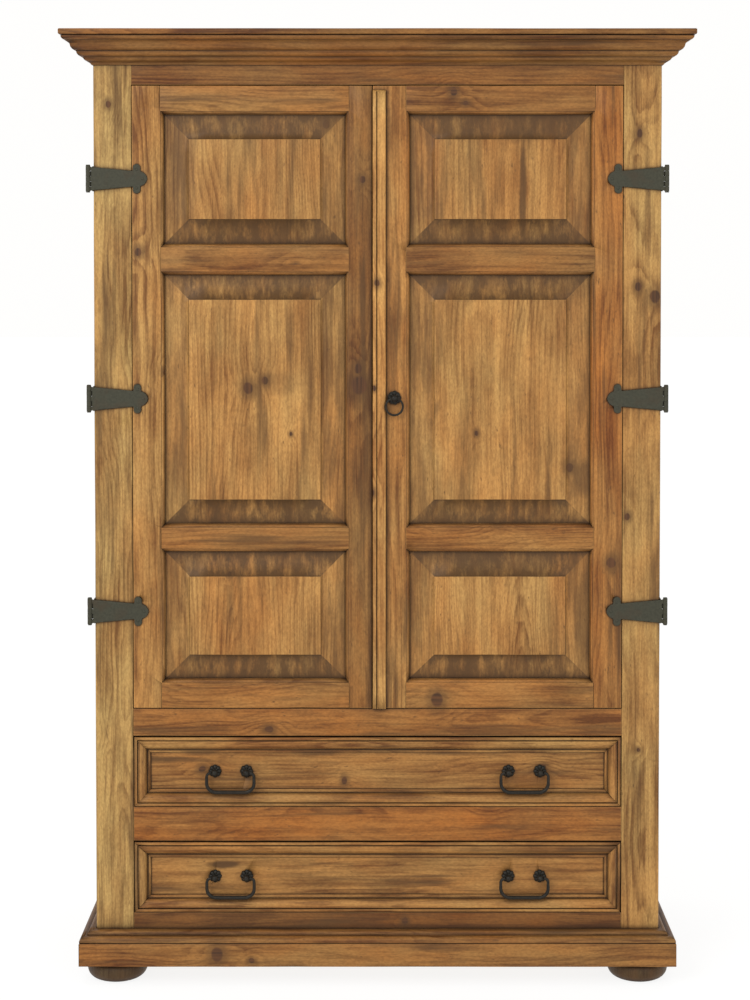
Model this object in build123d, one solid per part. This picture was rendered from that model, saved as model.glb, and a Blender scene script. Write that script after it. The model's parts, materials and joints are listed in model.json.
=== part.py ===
from build123d import *
import os
from math import cos, dist, radians, sin

# A free-standing pine armoire: a face-framed carcass on four bun feet, a moulded base and crown,
# two doors of three raised panels each on iron strap hinges, and two drawers with iron bail pulls.
# Millimetres. +Z is up, the front faces -Y, and the origin is on the floor under the middle.

# ---- overall ----
HEIGHT = 2047.0
BODY_W = 1215.0
BODY_D = 550.0
CROWN_OUT = 64.5  # how far the top board stands out past the body
BASE_OUT = 34.0  # how far the base stands out past the body
FRONT = -(BODY_D + CROWN_OUT) / 2 + CROWN_OUT  # y of the face frame's front
BACK = FRONT + BODY_D
HALF_W = BODY_W / 2

# ---- heights, from the floor up ----
FOOT_H = 43.0
BASE_TOP = 93.0
BASE_MOULD_TOP = 115.0
LOWER_BAY = (150.0, 305.5)  # lower drawer opening
UPPER_BAY = (380.0, 533.5)  # upper drawer opening
DOOR_BAY = (593.0, 1933.0)  # door opening
CROWN_LOW = 1975.0
TOP_T = 12.0
TOP_LOW = HEIGHT - TOP_T

# ---- boards ----
FRAME_T = 25.0  # face frame, side frames and doors
STILE_W = 81.0
BAY_HALF = HALF_W - STILE_W
INNER_HALF = HALF_W - FRAME_T
BACK_T = 12.0
BACK_BOARDS = 10
BOARD_GAP = 0.6
SHELF_T = 18.0
INSIDE_FRONT = FRONT + FRAME_T
INSIDE_BACK = BACK - BACK_T
ARRIS = 4.0  # rounding of the front corner posts' outer edges

# ---- doors ----
DOOR_PROUD = 1.5
DOOR_FACE = FRONT - DOOR_PROUD
DOOR_GAP = 1.5
DOOR_LOW = DOOR_BAY[0] + 1.5
DOOR_HIGH = DOOR_BAY[1] - 1.5
MEETING_X = -11.0  # the doors meet under the left edge of the astragal
MEETING_GAP = 1.4
PANEL_NEAR, PANEL_FAR = 69.5, 456.5  # panel openings, from the middle of the armoire
PANEL_BAYS = ((657.0, 931.5), (992.0, 1527.0), (1594.0, 1870.0))  # heights of the panel openings
STICK_W = 8.6  # moulded inner edge of the frames
BEVEL_W = 52.0
TONGUE = 9.0
PANEL_DEPTH = 12.0  # from the frame's face to the panel's edge
PANEL_T = 6.5
FIELD_DEPTH, SHOULDER_DEPTH = 1.0, 3.2

# ---- side frames ----
SIDE_STILE_W = 82.0
SIDE_BAYS = ((197.0, 552.0), (647.0, 1212.0), (1292.0, 1880.0))

# ---- hinges ----
PIN_X = HALF_W + 11.0
PIN_Y = FRONT - 3.0
PIN_R, BARREL_R, BORE_R = 2.2, 5.0, 2.28
KNUCKLE = 11.0
LEAF_T = 2.5
HINGE_Z = (804.0, 1262.0, 1733.0)
STRAP_TIP = 126.0
NAIL_R, NAIL_HEAD_R, NAIL_HEAD_H = 1.3, 3.4, 1.5
STRAP_NAILS = ((104.0, 20.0), (104.0, -20.0), (116.5, 0.0))
LEAF_NAILS = ((16.0, 17.0), (16.0, -17.0), (34.0, 0.0))

# ---- drawers ----
DRAWER_HALF = BAY_HALF - 2.0
DRAWER_CLEAR_LOW, DRAWER_CLEAR_HIGH = 1.0, 3.0
FIELD_BACK = 10.0  # drawer field behind the face frame
DRAWER_FRONT_T = 18.0
MOULD_W, MOULD_PROUD = 35.0, 3.0
MITRE_GAP = 0.15
BOX_HALF, BOX_T, BOX_LEN = 509.0, 14.0, 470.0
BOX_TOP_DROP = 24.0
BOTTOM_T, BOTTOM_UP, BOTTOM_GROOVE = 8.0, 10.0, 5.0

# ---- pulls ----
PULL_X = 317.0
POST_HALF = 34.0  # half the distance between the two posts of a pull
STUD_R = 2.5
PULL_DROP = 1.0  # pull's posts below the middle of the drawer front
POST_OUT = 16.5  # bail's axis in front of the drawer field
BALL_R, PINTLE_R, PINTLE_BORE_R, WIRE_R = 6.5, 2.2, 2.28, 3.8
BAIL_HALF, BAIL_DROP = 51.0, 42.0
BAIL_TURNS = (9.0, 20.0, 20.0, 9.0)  # radii of the bail's bends
RING_X, RING_AXIS_Z = 36.0, 1264.0
RING_R, RING_WIRE_R, RING_OUT, RING_BORE_R = 18.2, 2.25, 12.5, 4.0

# ---- inside ----
SHELF_TOP = 1709.0
ROD_Z, ROD_R = 1631.0, 15.0
CATCH_DROP, CATCH_H, CATCH_D = 20.0, 40.0, 15.0
STRIKE_H, STRIKE_T = 15.0, 1.0
ROD_Y = (INSIDE_FRONT + INSIDE_BACK) / 2
CLEAT_W, CLEAT_H = 20.0, 25.0
SOCKET_R, SOCKET_T = 24.0, 12.0


def block(x, y, z):
    """A box between two limits along each axis."""
    size = [abs(b - a) for a, b in (x, y, z)]
    middle = [(a + b) / 2 for a, b in (x, y, z)]
    return Pos(*middle) * Box(*size)


def outline(start, *steps):
    """A closed face. A step is the next point, or a pair: a point on the arc and the arc's end."""
    edges, here = [], start
    for step in steps:
        if isinstance(step[0], tuple):
            edges.append(ThreePointArc(here, step[0], step[1]))
            here = step[1]
        else:
            edges.append(Line(here, step))
            here = step
    if dist(here, start) > 1e-6:
        edges.append(Line(here, start))
    return make_face(Wire(edges))


def run(face, origin, across, up, length):
    """Extrudes a profile along across x up, where its first axis points across and its second points up."""
    plane = Plane(origin=origin, x_dir=across, z_dir=Vector(*across).cross(Vector(*up)))
    return extrude(plane * face, amount=length)


def plan(points, z):
    """A prism with the given plan, between two heights."""
    face = make_face(Polyline(*points, close=True))
    return extrude(Pos(0, 0, z[0]) * face, amount=z[1] - z[0])


def elevation(points, y):
    """A prism with the given front view, between two depths."""
    face = make_face(Polyline(*points, close=True))
    return extrude(Plane.XZ.offset(-y[1]) * face, amount=y[1] - y[0])


def save(name, *solids):
    shapes = [s for item in solids for s in item.solids()]
    shape = shapes[0] if len(shapes) == 1 else Compound(children=shapes)
    export_step(shape, f"parts/{name}.step")


def mirrored(shape):
    return mirror(shape, about=Plane.YZ)


def mitred_ring(x, z, y_back, profile, width, gap=0.0):
    """Four mitred lengths around a rectangle, with the profile's first axis running inwards
    from the outer edge and its second axis running forwards from y_back. Bottom, top, left, right.
    Each mitre may be cut short by a small gap."""
    deep = 60.0
    (x0, x1), (z0, z1) = x, z
    in_x, in_z = (x0 + width, x1 - width), (z0 + width, z1 - width)
    lengths = (
        run(profile, (x0, y_back, z0), (0, 0, 1), (0, -1, 0), x1 - x0),
        run(profile, (x1, y_back, z1), (0, 0, -1), (0, -1, 0), x1 - x0),
        run(profile, (x0, y_back, z1), (1, 0, 0), (0, -1, 0), z1 - z0),
        run(profile, (x1, y_back, z0), (-1, 0, 0), (0, -1, 0), z1 - z0),
    )
    mitres = (
        ((x0 + gap, z0), (x1 - gap, z0), (in_x[1] - gap, in_z[0]), (in_x[0] + gap, in_z[0])),
        ((x0 + gap, z1), (x1 - gap, z1), (in_x[1] - gap, in_z[1]), (in_x[0] + gap, in_z[1])),
        ((x0, z0 + gap), (x0, z1 - gap), (in_x[0], in_z[1] - gap), (in_x[0], in_z[0] + gap)),
        ((x1, z0 + gap), (x1, z1 - gap), (in_x[1], in_z[1] - gap), (in_x[1], in_z[0] + gap)),
    )
    span = (y_back - deep, y_back + deep)
    return [length & elevation(mitre, span) for length, mitre in zip(lengths, mitres)]


def stick_profile():
    """The frame's moulded inner edge: a small quirk and an ovolo that falls to the panel."""
    lip = FRAME_T - PANEL_DEPTH + 2.4
    low = (STICK_W - 1.2, lip + 1.0)
    high = (1.3, FRAME_T - 1.4)
    mid = ((low[0] + high[0]) / 2 + 1.4, (low[1] + high[1]) / 2 + 1.4)
    return outline((0, 0), (STICK_W, 0), (STICK_W, lip), low, (mid, high), (1.3, FRAME_T), (0, FRAME_T))


def raised_panel(x, z, face):
    """A panel whose edge sits in the frame's groove and whose bevel rises to a flat field."""
    (x0, x1), (z0, z1) = x, z
    edge, back = face + PANEL_DEPTH, face + PANEL_DEPTH + PANEL_T
    tongue = block((x0 - TONGUE, x1 + TONGUE), (edge, back), (z0 - TONGUE, z1 + TONGUE))
    in_x, in_z = (x0 + 0.6, x1 - 0.6), (z0 + 0.6, z1 - 0.6)
    raised = block(in_x, (face + SHOULDER_DEPTH, edge), in_z)
    rise = edge - face - SHOULDER_DEPTH
    wedge = make_face(Polyline((0, 0), (BEVEL_W, rise), (0, rise), close=True))
    reach_x, reach_z = in_x[1] - in_x[0], in_z[1] - in_z[0]
    cuts = (
        run(wedge, (in_x[0], edge, in_z[0]), (0, 0, 1), (0, -1, 0), reach_x),
        run(wedge, (in_x[1], edge, in_z[1]), (0, 0, -1), (0, -1, 0), reach_x),
        run(wedge, (in_x[0], edge, in_z[1]), (1, 0, 0), (0, -1, 0), reach_z),
        run(wedge, (in_x[1], edge, in_z[0]), (-1, 0, 0), (0, -1, 0), reach_z),
    )
    for cut in cuts:
        raised -= cut
    field_x = (in_x[0] + BEVEL_W, in_x[1] - BEVEL_W)
    field_z = (in_z[0] + BEVEL_W, in_z[1] - BEVEL_W)
    field = block(field_x, (face + FIELD_DEPTH, edge), field_z)
    return tongue + raised + field


def panelled_frame(x, z, face, stile_lines, bays):
    """Two stiles, the rails between them and the panels, as a door or a side frame is joined.
    stile_lines are the x of the panel openings' sides."""
    (x0, x1), (z0, z1) = x, z
    left_in, right_in = stile_lines
    back = face + FRAME_T
    shoulder = (left_in - STICK_W, right_in + STICK_W)
    left = block((x0, shoulder[0]), (face, back), (z0, z1))
    right = block((shoulder[1], x1), (face, back), (z0, z1))
    edges = [z0] + [h for low, high in bays for h in (low - STICK_W, high + STICK_W)] + [z1]
    rails = [block(shoulder, (face, back), pair) for pair in zip(edges[0::2], edges[1::2])]
    panels = []
    profile = stick_profile()
    for n, (low, high) in enumerate(bays):
        ring = mitred_ring(shoulder, (low - STICK_W, high + STICK_W), back, profile, STICK_W)
        rails[n] += ring[0]
        rails[n + 1] += ring[1]
        left += ring[2]
        right += ring[3]
        panels.append(raised_panel((left_in, right_in), (low, high), face))
    for low, high in bays:
        reach = TONGUE + 1.0
        groove = block(
            (left_in - reach, right_in + reach),
            (face + PANEL_DEPTH - 0.2, face + PANEL_DEPTH + PANEL_T + 0.2),
            (low - reach, high + reach),
        )
        left -= groove
        right -= groove
        rails = [rail - groove for rail in rails]
    return (left, right), rails, panels


# ---- carcass ----


def face_frame():
    stile = block((BAY_HALF, HALF_W), (FRONT, INSIDE_FRONT), (FOOT_H, TOP_LOW))
    stile = fillet(stile.edges().filter_by(Axis.Z).group_by(Axis.Y)[0].sort_by(Axis.X)[-1], ARRIS)
    for one in leaf_nails():
        stile -= one
    save("right_front_stile", stile)
    save("left_front_stile", mirrored(stile))
    rails = {
        "bottom_rail": (FOOT_H, LOWER_BAY[0]),
        "drawer_divider_rail": (LOWER_BAY[1], UPPER_BAY[0]),
        "door_sill_rail": (UPPER_BAY[1], DOOR_BAY[0]),
        "top_rail": (DOOR_BAY[1], TOP_LOW),
    }
    for name, z in rails.items():
        save(name, block((-BAY_HALF, BAY_HALF), (FRONT, INSIDE_FRONT), z))


def side_frames():
    """The frames are made lying in the front plane, then turned to face sideways."""
    length = BACK - INSIDE_FRONT
    front_rise = SIDE_STILE_W - FRAME_T  # the face frame's edge shows as the rest of this stile
    stiles, rails, panels = panelled_frame(
        (0.0, length), (FOOT_H, TOP_LOW), 0.0, (front_rise, length - SIDE_STILE_W), SIDE_BAYS
    )
    place = Pos(HALF_W, INSIDE_FRONT, 0) * Rot(0, 0, 90)
    groups = {"side_stiles": stiles, "side_rails": rails, "side_panels": panels}
    for name, shapes in groups.items():
        right = [place * shape for shape in shapes]
        if name == "side_stiles":
            for one in leaf_nails():
                right[0] -= one
        save(name, *right, *[mirrored(shape) for shape in right])


def back_boards():
    pitch = 2 * INNER_HALF / BACK_BOARDS
    boards = []
    for n in range(BACK_BOARDS):
        x0 = -INNER_HALF + n * pitch + BOARD_GAP / 2
        board = block((x0, x0 + pitch - BOARD_GAP), (INSIDE_BACK, BACK), (BASE_TOP, TOP_LOW))
        boards.append(chamfer(board.edges().filter_by(Axis.Z), 1.5))
    save("back_boards", *boards)


def decks():
    across, deep = (-INNER_HALF, INNER_HALF), (INSIDE_FRONT, INSIDE_BACK)
    save("cupboard_floor", block(across, deep, (DOOR_BAY[0] - SHELF_T, DOOR_BAY[0])))
    save("carcass_bottom", block(across, deep, (BASE_TOP, BASE_TOP + SHELF_T)))
    shelf = block(across, (INSIDE_FRONT + 5.0, INSIDE_BACK), (SHELF_TOP - SHELF_T, SHELF_TOP))
    save("shelf", shelf)
    low = SHELF_TOP - SHELF_T - CLEAT_H
    cleat = block((INNER_HALF - CLEAT_W, INNER_HALF), (INSIDE_FRONT, INSIDE_BACK), (low, low + CLEAT_H))
    save("shelf_cleats", cleat, mirrored(cleat))
    top = block((-HALF_W - CROWN_OUT, HALF_W + CROWN_OUT), (FRONT - CROWN_OUT, BACK), (TOP_LOW, HEIGHT))
    front_edges = top.edges().filter_by(Axis.X).sort_by(Axis.Y)[:2]
    end_edges = top.edges().filter_by(Axis.Y)
    save("top_board", fillet(front_edges + end_edges, 3.0))


def crown_profile():
    """From the body outwards and from the crown's foot up: an ogee, a bead, a long ogee and a small bead,
    each a step further out."""
    high = TOP_LOW - CROWN_LOW
    return outline(
        (0, 0),
        (3.0, 0.6),
        ((6.0, 4.8), (10.6, 7.6)),
        ((15.6, 10.2), (18.4, 14.6)),
        (18.4, 17.0),
        (22.4, 17.0),
        ((28.4, 20.4), (31.0, 27.2)),
        (31.0, 29.2),
        (34.6, 29.2),
        ((39.8, 32.8), (42.6, 38.8)),
        ((45.4, 44.8), (51.0, 48.4)),
        (51.0, 49.8),
        (54.4, 49.8),
        ((58.6, 53.2), (59.6, 58.2)),
        (57.6, 58.2),
        (57.6, high),
        (0, high),
    )


def base_profile():
    """From the body outwards and up from the base board: a torus, a quirk and an ovolo back to the body."""
    high = BASE_MOULD_TOP - BASE_TOP
    return outline(
        (0, 0),
        (BASE_OUT - 2.0, 0),
        (BASE_OUT - 0.8, 1.6),
        ((BASE_OUT - 3.6, 9.4), (BASE_OUT - 13.0, 13.0)),
        (BASE_OUT - 15.6, 13.0),
        (BASE_OUT - 15.6, 14.2),
        (BASE_OUT - 17.0, 14.2),
        ((BASE_OUT - 19.6, 19.4), (BASE_OUT - 27.0, high - 0.6)),
        (BASE_OUT - 28.0, high),
        (0, high),
    )


def wrap(names, profile, out, z):
    """A mitred moulding round the front and both sides, as a front length and a pair of returns."""
    edge, nose = HALF_W + out, FRONT - out
    front = run(profile, (edge, FRONT, z[0]), (0, -1, 0), (0, 0, 1), 2 * edge)
    front &= plan(((-edge, nose), (edge, nose), (HALF_W, FRONT), (-HALF_W, FRONT)), z)
    side = run(profile, (HALF_W, BACK, z[0]), (1, 0, 0), (0, 0, 1), BACK - nose)
    side &= plan(((edge, nose), (edge, BACK), (HALF_W, BACK), (HALF_W, FRONT)), z)
    save(names[0], front)
    save(names[1], side, mirrored(side))


def base_and_crown():
    wrap(("crown_front", "crown_sides"), crown_profile(), CROWN_OUT, (CROWN_LOW, TOP_LOW))
    wrap(
        ("base_front_moulding", "base_side_mouldings"), base_profile(), BASE_OUT, (BASE_TOP, BASE_MOULD_TOP)
    )
    high = BASE_TOP - FOOT_H
    board = outline(
        (0, 0), (BASE_OUT, 0), (BASE_OUT, high - 3.0), ((BASE_OUT - 0.9, high - 0.9), (BASE_OUT - 3.0, high)),
        (0, high),
    )
    wrap(("base_front_board", "base_side_boards"), board, BASE_OUT, (FOOT_H, BASE_TOP))
    save("base_back_board", block((-INNER_HALF, INNER_HALF), (BACK - FRAME_T, BACK), (FOOT_H, BASE_TOP)))


def bun_feet():
    radius, inset = 65.0, 10.0
    half = outline(
        (0, 0), (44.0, 0), ((60.0, 8.0), (radius, 23.0)), ((63.0, 35.0), (54.0, FOOT_H)), (0, FOOT_H)
    )
    foot = revolve(Plane.XZ * half, Axis.Z)
    x = HALF_W + BASE_OUT - inset - radius
    rows = (FRONT - BASE_OUT + inset + radius, BACK - inset - radius)
    save("bun_feet", *[Pos(side * x, y, 0) * foot for side in (-1, 1) for y in rows])


def drawer_runners():
    """Each runner is a ledge under the drawer's side, a guide beside it and a stop behind it."""
    ledge_in, guide_in = BOX_HALF - 17.0, BOX_HALF + 2.0
    box_front = FRONT + FIELD_BACK + DRAWER_FRONT_T
    stop_front = box_front + BOX_LEN + 1.0
    runners = []
    for bay in (LOWER_BAY, UPPER_BAY):
        ledge_top = bay[0] + DRAWER_CLEAR_LOW - 0.4
        beside = (ledge_top, ledge_top + 25.0)
        ledge = block((ledge_in, INNER_HALF), (INSIDE_FRONT, INSIDE_BACK), (ledge_top - 20.0, ledge_top))
        guide = block((guide_in, INNER_HALF), (box_front + 2.0, INSIDE_BACK), beside)
        stop = block((ledge_in, guide_in), (stop_front, INSIDE_BACK), beside)
        runner = ledge + guide + stop
        runners += [runner, mirrored(runner)]
    save("drawer_runners", *runners)


def hanging_rail():
    turned = Pos(0, ROD_Y, ROD_Z) * Rot(0, 90, 0)
    rod = chamfer((turned * Cylinder(ROD_R, 2 * (INNER_HALF - 2.0))).edges(), 1.5)
    save("hanging_rod", rod)
    ring = Cylinder(SOCKET_R, SOCKET_T) - Cylinder(ROD_R + 0.3, SOCKET_T)
    ring = fillet(ring.edges().sort_by(Axis.Z)[0:1] + ring.edges().sort_by(Axis.Z)[1:2], 1.5)
    at = Pos(INNER_HALF - SOCKET_T / 2, ROD_Y, ROD_Z) * Rot(0, 90, 0)
    socket = at * ring
    save("rod_sockets", socket, mirrored(socket))


# ---- hinges: each is made for the right side, round its own pin, and mirrored for the left ----


def knuckle(z, bore=BORE_R):
    height = z[1] - z[0] - 0.3
    at = Pos(0, 0, (z[0] + z[1]) / 2)
    return at * Cylinder(BARREL_R, height), at * Cylinder(bore, height + 2.0)


def knuckle_spans():
    low = -2.5 * KNUCKLE
    return [(low + n * KNUCKLE, low + (n + 1) * KNUCKLE) for n in range(5)]


def strap():
    """A tapered strap with an eared, rounded finial. It lies on the door's face, and reaches towards -X."""
    half = outline(
        (0, 0),
        (0, 2.5 * KNUCKLE - 1.0),
        (12.0, 24.5),
        (95.0, 16.6),
        (96.6, 20.5),
        ((104.0, 31.0), (111.0, 20.5)),
        (112.2, 15.4),
        ((121.6, 9.8), (STRAP_TIP, 0)),
    )
    whole = half + mirror(half, about=Plane.XZ)
    back = DOOR_FACE - PIN_Y
    plane = Plane(origin=(0, back, 0), x_dir=(-1, 0, 0), z_dir=(0, 1, 0))
    plate = extrude(plane * whole, amount=-LEAF_T)
    spans = knuckle_spans()
    for span in spans[1::2]:
        plate -= block((-7.0, 7.0), (-9.0, 9.0), (span[0] - 0.15, span[1] + 0.15))
    body = plate
    for span in spans[0::2]:
        barrel, bore = knuckle(span)
        body += barrel
        body -= bore
    for u, v in STRAP_NAILS:
        body -= Pos(-u, back - LEAF_T / 2, v) * Rot(90, 0, 0) * Cylinder(NAIL_R, 2 * LEAF_T)
    return body


def side_leaf():
    """An angled leaf on the carcass side, with the two knuckles between the strap's three."""
    half_h = 2.5 * KNUCKLE - 1.0
    body_x = HALF_W - PIN_X
    plate_x = (body_x, body_x + LEAF_T)
    web_y = (2.5, 5.0)
    plate = block(plate_x, (web_y[0], 48.0), (-half_h, half_h))
    plate = fillet(plate.edges().filter_by(Axis.X).sort_by(Axis.Y)[-2:], 10.0)
    body = plate
    for span in knuckle_spans()[1::2]:
        body += block((body_x, 0), web_y, (span[0] + 0.15, span[1] - 0.15))
        barrel, bore = knuckle(span)
        body += barrel
        body -= bore
    for y, v in LEAF_NAILS:
        body -= Pos(body_x, y, v) * Rot(0, 90, 0) * Cylinder(NAIL_R, 3 * LEAF_T)
    return body


def hinge_pin():
    """The pin, with a round head at the top and a riveted one at the bottom."""
    reach = 2.5 * KNUCKLE
    rod = Cylinder(PIN_R, 2 * reach)
    head = Pos(0, 0, reach + 1.25) * Cylinder(BARREL_R - 0.4, 2.5)
    head = fillet(head.edges().sort_by(Axis.Z)[-1], 1.2)
    foot = Pos(0, 0, -reach - 1.0) * Cylinder(BARREL_R - 0.9, 2.0)
    return rod + head + foot


def nail(length):
    """A hand-made nail with a domed head. It points along +Z, and its head rests on z = 0."""
    bulge = (NAIL_HEAD_R**2 + NAIL_HEAD_H**2) / (2 * NAIL_HEAD_H)
    dome = Pos(0, 0, bulge - NAIL_HEAD_H) * Sphere(bulge)
    head = dome & Pos(0, 0, -NAIL_HEAD_H) * Cylinder(
        NAIL_HEAD_R, NAIL_HEAD_H, align=(Align.CENTER, Align.CENTER, Align.MIN)
    )
    shank = Cylinder(NAIL_R, length, align=(Align.CENTER, Align.CENTER, Align.MIN))
    return head + shank


def at_hinges(shape):
    return [Pos(PIN_X, PIN_Y, z) * shape for z in HINGE_Z]


def strap_nails():
    face = DOOR_FACE - LEAF_T - PIN_Y
    nails = [Pos(-u, face, v) * Rot(-90, 0, 0) * nail(16.0) for u, v in STRAP_NAILS]
    return [moved for one in nails for moved in at_hinges(one)]


def leaf_nails():
    face = HALF_W + LEAF_T - PIN_X
    nails = [Pos(face, y, v) * Rot(0, -90, 0) * nail(14.0) for y, v in LEAF_NAILS]
    return [moved for one in nails for moved in at_hinges(one)]


def hinges():
    leaves = at_hinges(side_leaf())
    pins = at_hinges(hinge_pin())
    nails = leaf_nails()
    save("hinge_side_leaves", *leaves, *[mirrored(s) for s in leaves])
    save("hinge_pins", *pins, *[mirrored(s) for s in pins])
    save("hinge_leaf_nails", *nails, *[mirrored(s) for s in nails])


# ---- doors ----


def catch_x(side):
    """The catches sit each side of the meeting line."""
    return (MEETING_X + side * 12.0, MEETING_X + side * 58.0)


def doors():
    """The right door carries the astragal and the ring pull. The left door's meeting stile is narrower."""
    straps, nails = at_hinges(strap()), strap_nails()
    edges = {
        "right": ((MEETING_X + MEETING_GAP / 2, BAY_HALF - DOOR_GAP), (PANEL_NEAR, PANEL_FAR)),
        "left": ((-BAY_HALF + DOOR_GAP, MEETING_X - MEETING_GAP / 2), (-PANEL_FAR, -PANEL_NEAR)),
    }
    for name, (x, lines) in edges.items():
        side = 1 if name == "right" else -1
        stiles, rails, panels = panelled_frame(x, (DOOR_LOW, DOOR_HIGH), DOOR_FACE, lines, PANEL_BAYS)
        own_straps = straps if side > 0 else [mirrored(s) for s in straps]
        own_nails = nails if side > 0 else [mirrored(s) for s in nails]
        hinge_stile = stiles[1] if side > 0 else stiles[0]
        meeting_stile = stiles[0] if side > 0 else stiles[1]
        for one in own_nails:
            hinge_stile -= one
        if side > 0:
            meeting_stile -= ring_post()
        save(f"{name}_door_stiles", hinge_stile, meeting_stile)
        save(f"{name}_door_rails", *rails)
        save(f"{name}_door_panels", *panels)
        save(f"{name}_hinge_straps", *own_straps)
        save(f"{name}_strap_nails", *own_nails)
        back = DOOR_FACE + FRAME_T
        strike = (back, back + STRIKE_T), (DOOR_HIGH - STRIKE_H - 2.0, DOOR_HIGH - 2.0)
        save(f"{name}_catch_strike", block(catch_x(side), *strike))
    catch_low = DOOR_HIGH - CATCH_DROP
    catch = (INSIDE_FRONT, INSIDE_FRONT + CATCH_D), (catch_low, catch_low + CATCH_H)
    save("door_catches", *[block(catch_x(side), *catch) for side in (-1, 1)])


def astragal():
    """The strip that covers the meeting line: a low fillet, a quirk and a broad flat bead."""
    width = 28.4
    profile = outline(
        (0, 0), (width, 0), (width, 4.8), ((width - 1.3, 8.3), (width - 4.6, 9.6)), (12.8, 9.6),
        ((10.4, 9.0), (9.5, 7.2)), (9.5, 5.8), (8.3, 5.8), (8.3, 6.6), ((7.8, 7.4), (6.8, 7.6)), (2.2, 7.6),
        ((0.6, 6.9), (0, 5.2)),
    )
    low, high = DOOR_LOW, DOOR_HIGH - 8.0
    left = MEETING_X + MEETING_GAP / 2
    strip = run(profile, (left, DOOR_FACE, high), (1, 0, 0), (0, -1, 0), high - low)
    slope = make_face(Polyline((0, 0), (12.0, 0), (12.0, -7.0), close=True))
    cut = run(slope, (left + width + 5.0, DOOR_FACE, high), (0, -1, 0), (0, 0, 1), width + 10.0)
    save("astragal", strip - cut)


# ---- pulls ----


def rosette(radius, petals, thick):
    """A small scalloped plate. It lies in XY, with its back on z = 0."""
    plate = Cylinder(radius * 0.86, thick, align=(Align.CENTER, Align.CENTER, Align.MIN))
    for n in range(petals):
        turn = radians(360.0 * n / petals)
        petal = Cylinder(radius * 0.3, thick, align=(Align.CENTER, Align.CENTER, Align.MIN))
        plate += Pos(radius * 0.72 * cos(turn), radius * 0.72 * sin(turn), 0) * petal
    return plate


def pull_post(side):
    """A rosette, a neck and a ball that holds the bail's end. It stands along -Y from the origin."""
    plate = rosette(12.5, 8, 2.5)
    neck = Cylinder(4.5, POST_OUT, align=(Align.CENTER, Align.CENTER, Align.MIN))
    ball = Pos(0, 0, POST_OUT) * Sphere(BALL_R)
    stud = Cylinder(STUD_R, DRAWER_FRONT_T - 2.0, align=(Align.CENTER, Align.CENTER, Align.MAX))
    post = Rot(90, 0, 0) * (plate + neck + ball + stud)
    blind = Pos(side * BALL_R, -POST_OUT, 0) * Rot(0, 90, 0) * Cylinder(PINTLE_BORE_R, 2 * BALL_R + 3.0)
    return post - blind


def bail():
    """A bail bent from round bar, whose thinner ends turn in the posts' balls."""
    start = POST_HALF + BALL_R + 1.0
    path = FilletPolyline(
        (start, 0, 0), (BAIL_HALF, 0, 0), (BAIL_HALF, 0, -BAIL_DROP), (-BAIL_HALF, 0, -BAIL_DROP),
        (-BAIL_HALF, 0, 0), (-start, 0, 0), radius=BAIL_TURNS,
    )
    bar = sweep(Plane(origin=path @ 0, z_dir=path % 0) * Circle(WIRE_R), path=path)
    reach = BALL_R + 2.0
    for side in (-1, 1):
        middle = side * (start + 0.5 - reach / 2)
        bar += Pos(middle, 0, 0) * Rot(0, 90, 0) * Cylinder(PINTLE_R, reach)
    return Pos(0, -POST_OUT, 0) * bar


def ring_place():
    return Pos(RING_X, DOOR_FACE, RING_AXIS_Z)


def ring_post():
    """A rosette and a bored knob. The pull ring runs through the bore and hangs from its middle."""
    plate = rosette(14.0, 9, 2.5)
    neck = Cylinder(5.0, RING_OUT, align=(Align.CENTER, Align.CENTER, Align.MIN))
    knob = Pos(0, 0, RING_OUT) * Sphere(7.2)
    stud = Cylinder(STUD_R, FRAME_T - 2.0, align=(Align.CENTER, Align.CENTER, Align.MAX))
    post = Rot(90, 0, 0) * (plate + neck + knob + stud)
    post -= Pos(0, -RING_OUT, 0) * Rot(0, 90, 0) * Cylinder(RING_BORE_R, 30.0)
    return ring_place() * post


def ring_pull():
    ring = Rot(90, 0, 0) * Torus(RING_R, RING_WIRE_R)
    save("ring_post", ring_post())
    save("pull_ring", ring_place() * Pos(0, -RING_OUT, -RING_R) * ring)


# ---- drawers ----


def drawer_profile():
    """From the drawer's edge inwards: a fillet, a quirk, a broad rounded bead and a thin strip."""
    high = FIELD_BACK + MOULD_PROUD
    return outline(
        (0, 0),
        (MOULD_W, 0),
        (MOULD_W, 1.4),
        ((MOULD_W - 0.4, 2.4), (MOULD_W - 1.4, 2.7)),
        (29.4, 3.2),
        (29.0, 1.8),
        (26.8, 1.8),
        (26.4, 3.6),
        ((21.6, 10.2), (12.2, high)),
        ((8.8, high - 0.7), (7.7, high - 3.2)),
        (7.7, high - 4.4),
        (6.3, high - 4.4),
        (6.3, high - 1.2),
        (1.5, high - 1.2),
        ((0.4, high - 1.8), (0, high - 3.0)),
    )


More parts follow.
